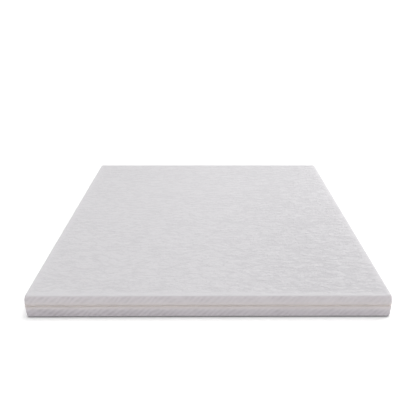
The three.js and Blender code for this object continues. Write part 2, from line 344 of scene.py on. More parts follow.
def make_felt():
    finish = Finish("barrier_felt")
    fibres = finish.noise(finish.place((1.0, 0.25, 1.0)), 420, 3)
    strays = finish.noise(finish.place((0.25, 1.0, 1.0)), 420, 3)
    needles = finish.cells(finish.place(), 260)
    mat = fibres * 0.4 + strays * 0.4 + needles * 0.2
    finish.set(Base_Color=finish.mix(mat, (0.62, 0.60, 0.53), (0.80, 0.78, 0.72)))
    finish.set(Normal=finish.bump(mat, 0.6 * MM), Roughness=1.0, Sheen_Weight=0.3)
    return finish.material


def make_label_satin():
    finish = Finish("label_satin")
    floats = (finish.part(finish.place(), "Z") * (2 * math.pi / FLOAT_PITCH)).sine() * 0.5 + 0.5
    cloud = finish.noise(finish.place(), 60, 2)
    finish.set(Base_Color=finish.mix(cloud, (0.76, 0.76, 0.74), (0.86, 0.86, 0.84)))
    finish.set(Normal=finish.bump(floats, 0.05 * MM), Roughness=0.42, Sheen_Weight=0.1)
    return finish.material


BASE_CLOTH = make_base_cloth()
FELT = make_felt()
LABEL_SATIN = make_label_satin()
print("made", ", ".join(made[-3:]))

# %% [markdown]
# ## Zip fabric, nylon, thread and metal
#
# Zip tape is woven in a herringbone: a twill whose slope turns back every few threads, so the
# twill's phase runs along a zigzag. The coil is satin nylon, the thread is polyester, and the
# slider is die-cast zinc with a satin plating that fingers have dulled.

# %% Make the zip's finishes
HERRINGBONE_W = 5 * MM
TWILL_PITCH = 1.1 * MM


def make_zip_fabric():
    finish = Finish("zip_fabric")
    place = finish.cloth_place()
    across = finish.part(place, "Y")
    zigzag = finish.node("ShaderNodeMath", {"operation": "PINGPONG"}, {0: across, 1: HERRINGBONE_W})
    phase = (finish.part(place, "X") + zigzag) * (2 * math.pi / TWILL_PITCH)
    twill = phase.sine() * 0.5 + 0.5
    finish.set(Base_Color=finish.mix(twill, (0.80, 0.735, 0.705), (0.89, 0.825, 0.795)))
    finish.set(Normal=finish.bump(twill, 0.15 * MM), Roughness=0.85)
    return finish.material


def make_zip_nylon():
    finish = Finish("zip_nylon")
    cloud = finish.noise(finish.place(), 90, 2)
    finish.set(Base_Color=finish.mix(cloud, (0.82, 0.755, 0.725), (0.90, 0.835, 0.805)))
    scuff = finish.noise(finish.place(), 1600, 2)
    finish.set(Normal=finish.bump(scuff, 0.03 * MM), Roughness=scuff * 0.2 + 0.35)
    return finish.material


def make_thread():
    finish = Finish("thread")
    ply = finish.noise(finish.place(), 1500, 1)
    finish.set(Base_Color=finish.mix(ply, (0.55, 0.53, 0.53), (0.72, 0.70, 0.70)))
    finish.set(Normal=finish.bump(ply, 0.08 * MM), Roughness=0.6, Sheen_Weight=0.2)
    return finish.material


def make_zip_metal():
    finish = Finish("zip_metal")
    wear = finish.noise(finish.place(), 240, 4, 0.65)
    grain = finish.noise(finish.place((1.0, 1.0, 6.0)), 700, 2)
    finish.set(Base_Color=finish.mix(wear.above(0.35, 0.7), (0.50, 0.49, 0.47), (0.66, 0.65, 0.62)))
    finish.set(Metallic=1.0, Roughness=wear * 0.25 + 0.22)
    finish.set(Normal=finish.bump(grain, 0.02 * MM))
    return finish.material


ZIP_FABRIC = make_zip_fabric()
ZIP_NYLON = make_zip_nylon()
THREAD = make_thread()
ZIP_METAL = make_zip_metal()
print("made", ", ".join(made[-4:]))

# %% [markdown]
# ## The foams and the non-slip dots
#
# Memory foam has very fine cells and looks like smooth bread. Support foam is coarser and is
# tinted pale blue. Both are cells within cells, so two sizes of Voronoi cells make the pores,
# and a long slow noise gives the faint bands that the slicing blade leaves on a slab's sides.
# The dots under the mattress are clear grey silicone.

# %% Make the foams
def make_foam(name, light, pore, scale, depth):
    finish = Finish(name)
    pores = finish.cells(finish.place(), scale)
    fine = finish.cells(finish.place(), scale * 2.3)
    blade = finish.noise(finish.place((0.4, 0.4, 14.0)), 14, 2)
    # painted shade: the open cells, sunk by the bump, take the darker pore colour, as shade in the
    # pores
    open_cell = (pores * 0.6 + fine * 0.4).above(0.05, 0.45)
    tone = open_cell * 0.75 + blade * 0.25
    finish.set(Base_Color=finish.mix(tone, pore, light))
    finish.set(Normal=finish.bump(open_cell, depth), Roughness=0.97)
    return finish.material


def make_dots():
    finish = Finish("nonslip_silicone")
    haze = finish.noise(finish.place(), 300, 2)
    finish.set(Base_Color=finish.mix(haze, (0.36, 0.36, 0.37), (0.46, 0.46, 0.47)))
    finish.set(Roughness=haze * 0.2 + 0.3)
    return finish.material


MEMORY_FOAM = make_foam("memory_foam", (0.86, 0.82, 0.70), (0.70, 0.65, 0.52), 520, 0.25 * MM)
SUPPORT_FOAM = make_foam("support_foam", (0.62, 0.69, 0.79), (0.43, 0.50, 0.61), 340, 0.45 * MM)
SILICONE = make_dots()
print("made", ", ".join(made[-3:]))

# %% [markdown]
# ## A route round the mattress
#
# Borders, tapes and coils are strips that go once round the mattress. On the real cover a strip
# starts and ends at one vertical join at the head end, under the zip's patch. So the route is a
# line that starts there, turns the four corners and comes back, and each of its points knows
# which way is out. Any strip is then a section carried along the route.

# %% Lay out the route
def straight(start, end, out, step):
    start, end = np.array(start), np.array(end)
    count = max(2, round(np.linalg.norm(end - start) / step))
    share = np.linspace(0, 1, count, endpoint=False)[:, None]
    points = start + (end - start) * share
    return points, np.tile(np.array(out, float), (count, 1))


def corner(middle, begin, facets):
    angle = np.radians(begin) + np.linspace(0, math.pi / 2, facets, endpoint=False)
    out = np.stack([np.cos(angle), np.sin(angle)], 1)
    return np.array(middle) + CORNER_R * out, out


def make_route(step, facets=14, gap=0.4 * MM):
    """Points, outward directions and lengths along the border, anticlockwise from the join."""
    x, y = HALF_WIDTH - CORNER_R, HALF_LENGTH - CORNER_R
    start, end = ZIP_END_X - gap / 2, ZIP_END_X + gap / 2
    legs = [
        straight((start, HALF_LENGTH), (-x, HALF_LENGTH), (0, 1), step),
        corner((-x, y), 90, facets),
        straight((-HALF_WIDTH, y), (-HALF_WIDTH, -y), (-1, 0), step),
        corner((-x, -y), 180, facets),
        straight((-x, -HALF_LENGTH), (x, -HALF_LENGTH), (0, -1), step),
        corner((x, -y), 270, facets),
        straight((HALF_WIDTH, -y), (HALF_WIDTH, y), (1, 0), step),
        corner((x, y), 0, facets),
        straight((x, HALF_LENGTH), (end, HALF_LENGTH), (0, 1), step),
    ]
    points = np.concatenate([leg[0] for leg in legs] + [[(end, HALF_LENGTH)]])
    outs = np.concatenate([leg[1] for leg in legs] + [[(0, 1)]])
    steps = np.linalg.norm(np.diff(points, axis=0), axis=1)
    return points, outs, np.concatenate([[0], np.cumsum(steps)])


points, outs, lengths = make_route(20 * MM)
ROUND = lengths[-1]
print(f"once round the mattress is {ROUND:.3f} m")


# %% Find places on the route
def on_route(along, out, up):
    """Places, ways and outs in space for lengths along the route."""
    points, outs, lengths = make_route(6 * MM)
    place = np.stack([np.interp(along, lengths, points[:, i]) for i in (0, 1)], 1)
    way_out = np.stack([np.interp(along, lengths, outs[:, i]) for i in (0, 1)], 1)
    way_out /= np.linalg.norm(way_out, axis=1)[:, None]
    flat = np.zeros(len(along))
    places = np.column_stack([place + way_out * out[:, None], up])
    ways = np.column_stack([-way_out[:, 1], way_out[:, 0], flat])
    return places, ways, np.column_stack([way_out, flat])


halfway = on_route(np.array([ROUND / 2]), np.zeros(1), np.array([ZIP_MIDDLE]))[0][0]
print("half way round the zip lies at", np.round(halfway, 3))

# %% [markdown]
# ## Meshes from arrays
#
# Every mesh is worked out as arrays and handed to Blender in one go, which is far quicker than
# adding vertices one at a time. A strip's section is a closed loop of points, each with a
# distance out and a height up, and the strip is closed at its two ends. Small round things, such
# as a stitch, are tubes: a few rings of points with a cap at each end.

# %% Make meshes
def make_object(name, vertices, faces, material, smooth=True):
    mesh = bpy.data.meshes.new(name)
    mesh.from_pydata(np.asarray(vertices).tolist(), [], faces)
    mesh.update()
    if smooth:
        mesh.shade_smooth()
    mesh.materials.append(material)
    piece = bpy.data.objects.new(name, mesh)
    bpy.context.collection.objects.link(piece)
    return piece


def face_out(piece):
    """Turns every face of a closed mesh outwards."""
    work = bmesh.new()
    work.from_mesh(piece.data)
    bmesh.ops.recalc_face_normals(work, faces=work.faces)
    work.to_mesh(piece.data)
    work.free()


def grid_faces(rows, columns, first=0):
    """Quads of a grid whose vertices are numbered row by row."""
    index = first + np.arange(rows * columns).reshape(rows, columns)
    quads = np.stack([index[:-1, :-1], index[1:, :-1], index[1:, 1:], index[:-1, 1:]], -1)
    return quads.reshape(-1, 4).tolist()


def tube_faces(rings, sides, count):
    """Faces of many tubes alike, each with some rings of points and a cap at both ends."""
    size = rings * sides
    tube = [tuple(range(sides)), tuple(range(size - 1, size - sides - 1, -1))]
    for lap in range(0, size - sides, sides):
        for i in range(sides):
            after = (i + 1) % sides
            tube.append((lap + i, lap + sides + i, lap + sides + after, lap + after))
    return [tuple(v + size * k for v in face) for k in range(count) for face in tube]


def mark_cloth(piece, values):
    """Keeps each vertex's place on the cloth, for its finish."""
    attribute = piece.data.attributes.new("cloth", "FLOAT_VECTOR", "POINT")
    attribute.data.foreach_set("vector", np.asarray(values, np.float32).ravel())


def make_strip(name, route, out, up, material, rib=None):
    """Carries a closed section round the route. out and up have a row for each route point."""
    points, outs, lengths = route
    count, around = len(points), out.shape[-1]
    out = np.broadcast_to(out, (count, around))
    up = np.broadcast_to(up, (count, around))
    flat = points[:, None, :] + outs[:, None, :] * out[..., None]
    vertices = np.concatenate([flat, up[..., None]], -1).reshape(-1, 3)
    index = np.arange(count * around).reshape(count, around)
    wrapped = np.concatenate([index, index[:, :1]], 1)
    quads = np.stack([wrapped[:-1, :-1], wrapped[1:, :-1], wrapped[1:, 1:], wrapped[:-1, 1:]], -1)
    faces = quads.reshape(-1, 4).tolist() + [index[0].tolist(), index[-1][::-1].tolist()]
    piece = make_object(name, vertices, faces, material)
    along = np.broadcast_to(lengths[:, None], (count, around))
    height = np.zeros((count, around)) if rib is None else np.broadcast_to(rib, (count, around))
    mark_cloth(piece, np.stack([along, up, height], -1))
    face_out(piece)
    return piece


def settle(piece, body, slot, *nodes):
    """The piece moves with a body and stands for its plain solids, which are hidden. slot is not used.
    """
    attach(piece, body)
    if nodes:
        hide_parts(*nodes)


print("strips and tubes can be made")

# %% [markdown]
# ## Unevenness
#
# Cloth is never quite straight. A hem wanders by half a millimetre and a seam puckers between
# its stitches. Noise would do, but a sum of a few sines lets each unevenness have its own range
# of wavelengths, and seeded sizes and phases give the same one on each run.

# %% Make waves
WAVE_COUNT = 7
WAVE_TOP = 1.6  # nearly all of a sum of waves stays below this, times the root of their count


def waves(length, shortest, longest, seed):
    """A smooth curve along length, about -1 to 1, with wavelengths between two sizes."""
    random = np.random.default_rng(seed)
    sizes = np.exp(random.uniform(math.log(shortest), math.log(longest), WAVE_COUNT))
    phases = random.uniform(0, 2 * math.pi, WAVE_COUNT)
    total = sum(np.sin(2 * math.pi * length / s + p) for s, p in zip(sizes, phases))
    return total / WAVE_COUNT ** 0.5 / WAVE_TOP


def smooth(value, low, high):
    """0 below low, 1 above high, and smooth between them."""
    share = np.clip((value - low) / (high - low), 0, 1)
    return share * share * (3 - 2 * share)


print("a wave's range:", np.round(np.ptp(waves(lengths, 0.1, 0.6, 1)), 2))

# %% [markdown]
# ## The borders
#
# Each border is a strip of ribbed knit. At the zip it folds back on itself into a hem, and at the
# seam it bends over the mattress's edge to meet the panel. The foam presses on it from inside, so
# the sides and the foot swell by a few millimetres.
# The ribs could be a bump, but their edges show against the light, so they are real: each point
# of the face sinks between ribs by up to a millimetre. They are unevenly spaced, fainter where
# the knit is stretched, and flat where the stitching holds them, at the hem and at the seam.

# %% Shape a border's section
RIB_DEPTH = 1.0 * MM
RIB_LOOSE = 0.8  # share of their depth that the ribs keep at the left-hand side
RIB_TAUT = 0.32  # and how much of it they lose towards the right, where the knit is stretched
BORDER_ROW = 2.6 * MM  # between the rows of points up a border
HEM_FINE_ROW = 1.1 * MM  # and between those in the hem
HEM_FINE_ROWS = 8
HEM_ROLL = 1.1 * MM  # radius of the hem's fold


def through(points):
    """A smooth line through (out, up) points, in short steps in the hem and longer ones after."""
    points = np.array(points)
    lengths = np.concatenate([[0], np.cumsum(np.linalg.norm(np.diff(points, axis=0), axis=1))])
    fine = HEM_FINE_ROW * np.arange(HEM_FINE_ROWS)
    start = HEM_FINE_ROW * HEM_FINE_ROWS
    longer = np.linspace(start, lengths[-1], round((lengths[-1] - start) / BORDER_ROW))
    at = np.concatenate([fine, longer])
    padded = np.vstack([2 * points[0] - points[1], points, 2 * points[-1] - points[-2]])
    line = []
    for place in at:
        i = min(np.searchsorted(lengths, place, side="right") - 1, len(points) - 2)
        t = (place - lengths[i]) / (lengths[i + 1] - lengths[i])
        a, b, c, d = padded[i:i + 4]
        bend = 2 * b + (c - a) * t + (2 * a - 5 * b + 4 * c - d) * t ** 2
        line.append((bend + (3 * b - a - 3 * c + d) * t ** 3) / 2)
    return np.array(line)


def border_face(hem, seam, swell):
    """The outer face in section, from the hem's fold to the seam. seam is (out, up)."""
    away = 1 if seam[1] > hem else -1
    edge = seam[1]
    points = [
        (-HEM_ROLL * 1.2, hem),
        (-HEM_ROLL * 0.35, hem + away * 0.35 * HEM_ROLL),
        (-0.1 * MM, hem + away * 2.2 * HEM_ROLL),
        (0, hem + (edge - hem) * 0.25),
        (-swell * 0.12, hem + (edge - hem) * 0.5),
        (-swell * 0.45, hem + (edge - hem) * 0.75),
        (-swell, edge - away * 4.5 * MM),
        (seam[0] + 0.9 * MM, edge - away * 1.5 * MM),
        seam,
    ]
    return through(points)


TOP_SEAM = TOP - 2.0 * MM
TOP_SEAM_OUT = -3.6 * MM
# painted shade: the seam sits this high so that the dark base cloth below it shows as the contact
# shadow line
BASE_SEAM = 7.0 * MM
BASE_SEAM_OUT = -2.8 * MM
UPPER_FACE = border_face(UPPER_HEM, (TOP_SEAM_OUT, TOP_SEAM), 1.6 * MM)
LOWER_FACE = border_face(LOWER_HEM, (BASE_SEAM_OUT, BASE_SEAM), 1.3 * MM)
print(len(UPPER_FACE), "and", len(LOWER_FACE), "rows up the two faces")

# %% Lay the hems
HEM_REST = 1.9 * MM  # how far a hem closes in on the coil, away from the head end
HEM_ROW = 3.4 * MM  # from the hem's fold to its stitching
HEM_SPREAD = 14 * MM  # how far from the fold the hem's unevenness dies away
HEM_WANDER = 0.35 * MM
HEAD_TURN = ZIP_END_X + HALF_WIDTH  # length of route from the join to the first corner
HEAD_FADE = 150 * MM
SIDE_SWELL = 3.0 * MM
SWELL_HEIGHT = 1.5  # above 1, the side swells most above its middle


def off_head(along):
    """0 along the head end, where the zip's ends hold the cover, and 1 further round."""
    return smooth(np.minimum(along - HEAD_TURN, ROUND - along), 0, HEAD_FADE)


def hem_shift(along, hem, seed):
    """How far up or down the hem's fold strays. Only the head end leaves the slider its room."""
    rest = HEM_REST * off_head(along)
    wander = HEM_WANDER * waves(along, 0.06, 0.4, seed)
    return wander + (rest if ZIP_MIDDLE > hem else -rest)


def hem_share(distance):
    """The part of the hem's shift that a row keeps, at a distance from the fold."""
    return 1 - smooth(distance, 0, HEM_SPREAD)


def side_swell(along, up):
    """How far the foam pushes the side out."""
    share = np.clip((up - BASE_SEAM) / (TOP_SEAM - BASE_SEAM), 0, 1)
    return SIDE_SWELL * off_head(along) * np.sin(math.pi * share ** SWELL_HEIGHT)


print(f"hems close in by {1000 * hem_shift(lengths, LOWER_HEM, 1).max():.1f} mm at most")

# %% Raise the ribs
def knit_ribs(x, along, up, seed):
    """The ribs' height, from 0 to 1, and the share of their depth that is left at each point."""
    phase = (along - up / math.tan(RIB_SLOPE)) / RIB_PITCH
    drift = 0.5 * waves(along, 0.15, 0.7, seed) + 0.15 * waves(along, 0.04, 0.12, seed + 1)
    rib = (0.5 + 0.5 * np.cos(2 * math.pi * (phase + drift))) ** 0.8
    from_hem, from_seam = np.abs(up - up[0]), np.abs(up - up[-1])
    hold = smooth(from_hem, 2 * MM, 11 * MM) * smooth(from_seam, 0.5 * MM, 6 * MM)
    loose = RIB_LOOSE - RIB_TAUT * smooth(x / HALF_WIDTH, -0.7, 0.3)
    uneven = np.clip(1 + 0.55 * waves(along + 3 * up, 0.05, 0.4, seed + 5), 0.1, 1.7)
    return rib, hold * loose * uneven


print("ribs are", RIB_PITCH / MM, "mm apart")

# %% Carry the borders round
BORDER_STEP = 3.2 * MM  # along the route
BACK_ROWS = 3  # rows of the face for each row of the back
SEAM_PINCH = 0.5 * MM
SEAM_PINCH_REACH = 9 * MM
BELLY = 0.7 * MM  # that the cloth sinks between the hem and the seam, where it is slack
GROOVE = 0.45 * MM  # that the hem's stitching pulls in
GROOVE_W = 1.3 * MM


def make_border(half, face, seed):
    """The ribbed face and its plain back, from the hem to the seam and back."""
    route = make_route(BORDER_STEP)
    along = route[2][:, None]
    out, up = face[:, 0], face[:, 1]
    hem, seam = up[0], up[-1]
    from_hem = np.abs(up - hem)
    rib, hold = knit_ribs(route[0][:, :1], along, up, seed)
    sink = (1 - rib) * RIB_DEPTH * hold
    pucker = SEAM_PINCH * (0.5 + 0.5 * waves(along, 0.014, 0.03, seed + 2))
    near_seam = 1 - smooth(np.abs(up - seam), 0, SEAM_PINCH_REACH)
    slack = BELLY * (0.5 + 0.5 * waves(along, 0.12, 0.5, seed + 3))
    belly = np.sin(math.pi * np.clip((up - hem) / (seam - hem), 0, 1))
    groove = GROOVE * np.exp(-(((from_hem - HEM_ROW) / GROOVE_W) ** 2))
    swell = side_swell(along, up)
    front_out = out + swell - sink - pucker * near_seam - slack * belly - groove
    front_up = up + hem_shift(along, hem, seed + 4) * hem_share(from_hem)
    back = np.arange(len(face))[::-BACK_ROWS]
    back_out = (out + swell)[:, back] - CLOTH
    all_out = np.concatenate([front_out, back_out], 1)
    all_up = np.concatenate([front_up, front_up[:, back]], 1)
    relief = np.concatenate([1 - (1 - rib) * hold, np.full(back_out.shape, 0.5)], 1)
    piece = make_strip(f"{half}_border_cloth", route, all_out, all_up, BORDER_KNIT, relief)
    settle(piece, f"{half}_cover", "border_knit", f"{half}_border")


UPPER_SEED, LOWER_SEED = 11, 21
make_border("upper", UPPER_FACE, UPPER_SEED)
make_border("lower", LOWER_FACE, LOWER_SEED)

# %% [markdown]
# ## The panels
#
# The top and bottom panels are rectangles with round corners. A grid is the natural mesh for a
# flat cloth, but its corners are square, so the corner cells are squeezed onto a quarter circle:
# each point keeps its distance from the straight sides and slides in towards the arc.
# The grid's lines crowd together near the rim, where the panel bends over the mattress's edge.
# The back is only seen when the cover comes off, so it is a few rings that follow the bend, and
# one large face inside them.

# %% Lay out a panel
BACK_RINGS = np.array([0, 2, 5, 9, 26]) * MM  # from the rim to the flat of a panel's back
RIM_STEPS = np.array([0, 0.8, 1.7, 2.8, 4.1, 5.7, 7.6, 9.9, 12.6, 16, 20.5, 26, 33]) * MM


def panel_lines(half, step):
    """Grid lines across a panel, crowded near its two rims."""
    inner = half - RIM_STEPS[-1]
    count = max(2, round(2 * inner / step))
    middle = np.linspace(-inner, inner, count + 1)[1:-1]
    rim = half - RIM_STEPS
    return np.concatenate([-rim, middle, rim[::-1]])


def round_corners(x, y, half_x, half_y, radius):
    """Slides the points of square corners in to round ones."""
    over_x = np.clip(np.abs(x) - (half_x - radius), 0, None) / radius
    over_y = np.clip(np.abs(y) - (half_y - radius), 0, None) / radius
    both = (over_x > 0) & (over_y > 0)
    new_x = np.sign(x) * (half_x - radius + radius * over_x * np.sqrt(1 - over_y ** 2 / 2))
    new_y = np.sign(y) * (half_y - radius + radius * over_y * np.sqrt(1 - over_x ** 2 / 2))
    return np.where(both, new_x, x), np.where(both, new_y, y)


def rim_distance(x, y, half_x, half_y, radius):
    """How far each point lies inside the rounded rim."""
    over_x = np.abs(x) - (half_x - radius)
    over_y = np.abs(y) - (half_y - radius)
    outside = np.hypot(np.clip(over_x, 0, None), np.clip(over_y, 0, None))
    return radius - outside - np.minimum(np.maximum(over_x, over_y), 0)


def rim_of(rows, columns):
    """The numbers of a grid's outer vertices, in order round it."""
    index = np.arange(rows * columns).reshape(rows, columns)
    return np.concatenate([index[0, :], index[1:, -1], index[-1, -2::-1], index[-2:0:-1, 0]])


def make_panel(name, out, steps, face, back, material, marks=None):
    """A closed panel. face and back give heights from x, y and the distance from the rim.

    marks gives two numbers for each point of the face, which the finish reads.
    """
    half_x, half_y, radius = HALF_WIDTH + out, HALF_LENGTH + out, CORNER_R + out
    lines = panel_lines(half_x, steps[0]), panel_lines(half_y, steps[1])
    x, y = np.meshgrid(*lines, indexing="ij")
    x, y = round_corners(x, y, half_x, half_y, radius)
    inside = rim_distance(x, y, half_x, half_y, radius)
    front = np.stack([x, y, face(x, y, inside)], -1).reshape(-1, 3)
    rim = rim_of(*x.shape)
    rings, faces = [front], grid_faces(*x.shape)
    last = rim
    for depth in BACK_RINGS:
        inner = front[rim] * (1 - depth / half_x, 1 - depth / half_y, 0)
        inner[:, 2] = back(inner[:, 0], inner[:, 1], depth)
        ring = sum(map(len, rings)) + np.arange(len(rim))
        faces += np.stack([last, np.roll(last, -1), np.roll(ring, -1), ring], -1).tolist()
        rings.append(inner)
        last = ring
    faces.append(last.tolist())
    vertices = np.concatenate(rings)
    piece = make_object(name, vertices, faces, material)
    cloth = vertices.copy()
    cloth[:, 2] = 0.5
    if marks is not None:
        cloth[:len(front), 1:] = np.stack(marks(x, y, inside), -1).reshape(-1, 2)
    mark_cloth(piece, cloth)
    face_out(piece)
    return piece


print("panels have", len(RIM_STEPS), "lines in each rim")

# %% [markdown]
# ## The sleeping surface
#
# The top panel lies on felt and memory foam, so it is flat, with a crown of a millimetre or two,
# and the border seam draws its rim down over the edge. The seam pulls the knit smooth at the
# rim, and it is loosest towards the right. The crinkle's larger creases are part of
# its shape: they wander across the bed two or three centimetres apart, and between them the knit
# stands up in soft, low cushions. They come from the same folded noise as the fine creases, and
# each point's depth in a crease goes to the finish, which paints a little shade into the creases.
# That painted shade fades where the seam pulls the knit smooth, so the rim is painted lighter, and
# it is deepest towards the right.

# %% Make the top panel
TOP_RIM_OUT = -3.8 * MM
EDGE_DROP = 1.9 * MM  # from the flat top down to the seam
EDGE_BEND = 9 * MM
CROWN = 1.5 * MM
RIM_PULL = 50 * MM
LOOSE_SIDE = 0.7  # how much deeper the creases are at the right-hand side
CREASE_DEPTH = 1.1 * MM
CREASE_RATE = (17, 38)  # folds per metre across the bed, and along it
TOP_STEPS = (8.6 * MM, 4.5 * MM)  # finer along the bed, because the creases run across it


def slack_of(x, inside):
    """0 at the rim, where the seam pulls the knit smooth, and more where the knit is looser."""
    loose = 0.85 + LOOSE_SIDE * smooth(x / HALF_WIDTH, -0.1, 0.9)
    return np.sqrt(smooth(inside, 0, RIM_PULL)) * loose


def crease_depth(x, y, inside):
    """1 at the bottom of a crease and 0 on a cushion, fading at the rim."""
    flat = zip((x * CREASE_RATE[0]).ravel(), (y * CREASE_RATE[1]).ravel())
    fold = np.abs([noise.noise((a, b, 0.5)) + 0.3 * noise.noise((2 * a, 2 * b, 7.5)) for a, b in flat])
    depth = 1 - smooth(fold.reshape(x.shape), 0, 0.34)
    return depth * slack_of(x, inside)


def top_bend(inside):
    """The cover's top without its crown and creases."""
    return TOP - EDGE_DROP * (1 - np.clip(inside / EDGE_BEND, 0, 1)) ** 2


def top_face(x, y, inside):
    crown = CROWN * (1 - (x / HALF_WIDTH) ** 2) * (1 - (y / HALF_LENGTH) ** 2)
    rim_wave = 0.25 * MM * waves(x + y, 0.02, 0.05, 31) * (1 - smooth(inside, 0, 25 * MM))
    return top_bend(inside) + crown + rim_wave - CREASE_DEPTH * crease_depth(x, y, inside)


# painted shade: the finish darkens the knit by these two numbers, and both are 0 at the rim
def top_marks(x, y, inside):
    return slack_of(x, inside), crease_depth(x, y, inside)


def top_back(x, y, inside):
    return top_bend(inside) - CLOTH


top_panel = make_panel(
    "top_panel_cloth", TOP_RIM_OUT, TOP_STEPS, top_face, top_back, TOP_KNIT, top_marks
)
settle(top_panel, "upper_cover", "top_knit", "top_panel")

# %% [markdown]
# ## The underside
#
# The bottom panel is the same shape turned over. Its rim turns up to the seam, and the rest lies
# flat on the floor, so it has almost no relief. Silicone dots are printed on it in staggered
# rows, to keep the mattress from sliding. Each dot is a low dome, and all of them are one mesh.

# %% Make the bottom panel
DOT_R = 2.6 * MM
DOT_HEIGHT = 0.5 * MM
DOT_PITCH = 32 * MM
DOT_MARGIN = 45 * MM
DOT_SIDES = 8
BASE_BEND = 8 * MM  # from the seam to where the cloth lies flat
# painted shade: the dark rim up to this height stands in for the contact shadow at the floor
BASE_RIM = 7.6 * MM  # height of the rim, tucked in behind the border's edge
BASE_RIM_OUT = BASE_SEAM_OUT - 0.9 * MM
BASE_STEPS = (24 * MM, 24 * MM)


def bottom_face(x, y, inside):
    reach = 1 - np.clip(inside / BASE_BEND, 0, 1)
    return DOT_HEIGHT + (BASE_RIM - DOT_HEIGHT) * (1 - np.sqrt(1 - reach ** 2))


def bottom_back(x, y, inside):
    return bottom_face(x, y, inside) + CLOTH - 0.4 * MM


bottom_panel = make_panel(
    "bottom_panel_cloth", BASE_RIM_OUT, BASE_STEPS, bottom_face, bottom_back, BASE_CLOTH
)
settle(bottom_panel, "lower_cover", "base_cloth", "bottom_panel")


# %% Print the dots
def dot_places():
    half_x, half_y = HALF_WIDTH - DOT_MARGIN, HALF_LENGTH - DOT_MARGIN
    columns, rows = int(2 * half_x / DOT_PITCH), int(2 * half_y / DOT_PITCH)
    for row in range(rows + 1):
        shift = 0.25 if row % 2 else -0.25
        for column in range(columns):
            x = (column - (columns - 1) / 2 + shift) * DOT_PITCH
            yield x, (row - rows / 2) * DOT_PITCH


def make_domes(places):
    """Low domes that stand down from the cloth."""
    sides = DOT_SIDES
    angle = np.linspace(0, 2 * math.pi, sides, endpoint=False)
    ring = np.stack([np.cos(angle), np.sin(angle)], 1)
    rings = [(0.85, 1.3), (1.0, 0.9), (0.8, 0.3)]  # shares of the dot's radius and height
    dome = [np.column_stack([DOT_R * r * ring, np.full(sides, h * DOT_HEIGHT)]) for r, h in rings]
    dome = np.vstack([*dome, [(0, 0, 1.3 * DOT_HEIGHT), (0, 0, 0.1 * DOT_HEIGHT)]])
    shifts = np.column_stack([places, np.zeros(len(places))])
    vertices = (shifts[:, None, :] + dome[None]).reshape(-1, 3)
    faces = []
    for side in range(sides):
        after = (side + 1) % sides
        faces.append((3 * sides, side, after))
        faces.append((3 * sides + 1, 2 * sides + after, 2 * sides + side))
        for lap in (0, sides):
            faces.append((lap + side, lap + sides + side, lap + sides + after, lap + after))
    repeated = [tuple(v + i * len(dome) for v in f) for i in range(len(places)) for f in faces]
    return vertices, repeated


places = np.array(list(dot_places()))
dots = make_object("nonslip_dots", *make_domes(places), SILICONE)
face_out(dots)
settle(dots, "lower_cover", "base_cloth")
print(len(places), "dots")

# %% [markdown]
# ## Felt and linings
#
# Behind the knit lies the fire barrier: a felt sheet under the top panel, and a strip behind
# each border. They can only be seen when the cover comes off, and they are plain and a little
# uneven. Each stays in the space that the frame keeps for it.

# %% Make the fire barrier
def make_felt_sheet():
    low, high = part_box("top_barrier_felt")
    out = high.x - HALF_WIDTH

    def face(x, y, inside):
        return high.z - 0.5 * MM * (1 - smooth(inside, 0, 4 * MM)) - 0.15 * MM

    def back(x, y, inside):
        return low.z + 0.25 * MM * (1 + waves(x, 0.05, 0.3, 41))

    return make_panel("top_barrier_felt_sheet", out, (30 * MM, 30 * MM), face, back, FELT)


def make_lining(name, node, seed):
    low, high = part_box(node)
    route = make_route(24 * MM)
    along = route[2][:, None]
    outer = high.x - HALF_WIDTH - 0.1 * MM
    inner = outer - 1.4 * MM
    middle = (low.z + high.z) / 2
    edge = 0.4 * MM * waves(along, 0.08, 0.4, seed)
    out = np.array([outer, outer, outer, inner, inner, inner])
    up = np.array([low.z, middle, high.z, high.z, middle, low.z]) + edge * np.array([1, 0, 0, 0, 0, 1])
    return make_strip(name, route, out, up, FELT)


felt = make_felt_sheet()
settle(felt, "upper_cover", "barrier_felt", "top_barrier_felt")
for half in ("upper", "lower"):
    node = f"{half}_border_lining"
    lining = make_lining(f"{half}_lining_felt", node, 43)
    low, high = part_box(node)
    settle(lining, f"{half}_cover", "barrier_felt", node)
    print(f"{half} lining strip is {1000 * (high.z - low.z):.0f} mm wide")

# %% [markdown]
# ## The zip's tapes and coils
#
# A coil zip has two woven tapes, and a nylon coil sewn along the edge of each. Closed, the loops
# of the two coils take turns across the middle. A true coil of seven metres would need millions
# of faces, so each loop is a short rounded bar that lies across the tape, and the lower row's
# bars fall between the upper row's.

# %% Make the tapes and coils
LOOP_PITCH = 2.0 * MM  # along one coil
LOOP_W = 1.5 * MM
LOOP_SIDES = 6
LOOP_RINGS = ((0.0, 0.62), (0.18, 1.0), (1.0, 0.9))  # shares of a loop's length and width
LOOP_LAP = 0.35 * MM  # how far a loop reaches past the middle of the zip
TAPE_T = 0.75 * MM


def make_tape(name, node, side):
    low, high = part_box(node)
    outer = high.x - HALF_WIDTH
    inner = outer - TAPE_T
    near, far = (low.z, high.z) if side > 0 else (high.z, low.z)
    share = np.array([0, 0.3, 0.7, 1, 1, 0.7, 0.3, 0])
    up = near + (far - near) * share
    route = make_route(16 * MM, gap=4 * MM)
    out = np.array([outer] * 4 + [inner] * 4) + side_swell(route[2][:, None], up)
    return make_strip(name, route, out, up, ZIP_FABRIC)


